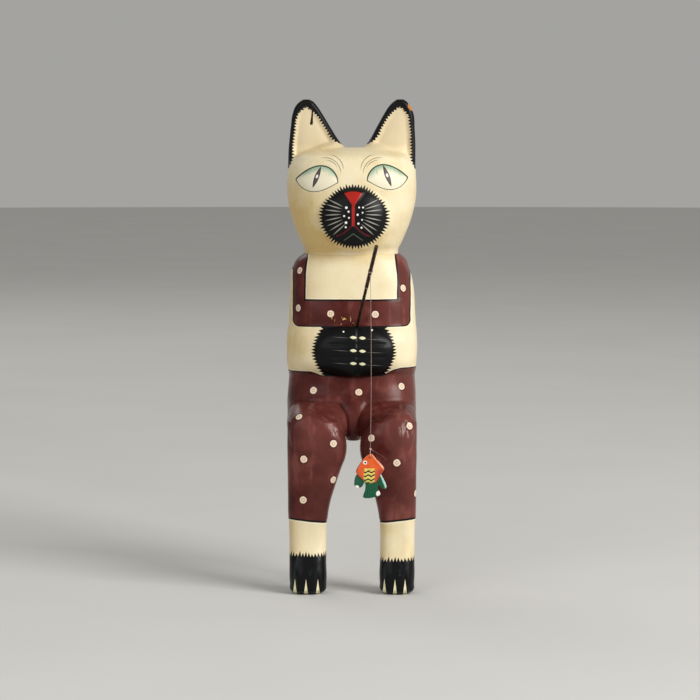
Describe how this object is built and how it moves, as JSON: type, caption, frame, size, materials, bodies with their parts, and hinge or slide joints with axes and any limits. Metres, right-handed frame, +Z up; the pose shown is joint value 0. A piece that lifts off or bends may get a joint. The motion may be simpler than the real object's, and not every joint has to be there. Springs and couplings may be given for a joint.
{
  "type": "carved fishing cat shelf sitter",
  "caption": "Carved painted wooden cat that sits on a shelf edge with hanging legs and fishes with a twig rod, a clear line and a small carved fish.",
  "frame": {"origin": "middle of the flat seat, on its underside", "axes": "+Z up along the sitting figure, -Y the way the cat faces, +X towards the cat's left paw"},
  "size_m": [0.1367, 0.2423, 0.5],
  "materials": {
    "torso_paint": "hand painted maroon, cream and black under satin varnish",
    "head_paint": "hand painted cream with a black muzzle under satin varnish",
    "leg_paint": "hand painted maroon, cream and black under satin varnish",
    "tail_paint": "hand painted cream with a black tip under satin varnish",
    "dowel_wood": "bare turned dowel",
    "dark_twig": "dark stained twig",
    "clear_line": "clear nylon monofilament",
    "fish_paint": "hand painted orange, green and yellow gloss"
  },
  "bodies": {
    "figure": {"torso": "torso_paint", "head": "head_paint", "left_leg": "leg_paint", "right_leg": "leg_paint", "tail": "tail_paint", "neck_dowel": "dowel_wood", "leg_dowels": "dowel_wood"},
    "rod": {"fishing_rod": "dark_twig", "rod_whipping": "clear_line"},
    "tie": {"tie_knot": "clear_line"},
    "line": {"fishing_line": "clear_line"},
    "snell": {"fish_knot": "clear_line"},
    "fish": {"fish": "fish_paint"}
  },
  "joints": [
    {"name": "rod_pull", "type": "slide", "parent": "figure", "child": "rod", "axis": [0.1264, -0.7993, 0.5875], "range_m": [0, 0.025]},
    {"name": "line_sway", "type": "hinge", "parent": "rod", "child": "tie", "pos_m": [0.01805, -0.1339, 0.1787], "axis": [0, 1, 0], "range_deg": [-35, 35]},
    {"name": "line_swing", "type": "hinge", "parent": "tie", "child": "line", "pos_m": [0.01805, -0.1339, 0.17377], "axis": [1, 0, 0], "range_deg": [-45, 2]},
    {"name": "fish_spin", "type": "hinge", "parent": "line", "child": "snell", "pos_m": [0.01805, -0.1339, 0.0023], "axis": [0, 0, 1], "continuous": true},
    {"name": "fish_rock", "type": "hinge", "parent": "snell", "child": "fish", "pos_m": [0.01805, -0.1339, -0.006], "axis": [0, 1, 0], "range_deg": [-30, 30]}
  ]
}
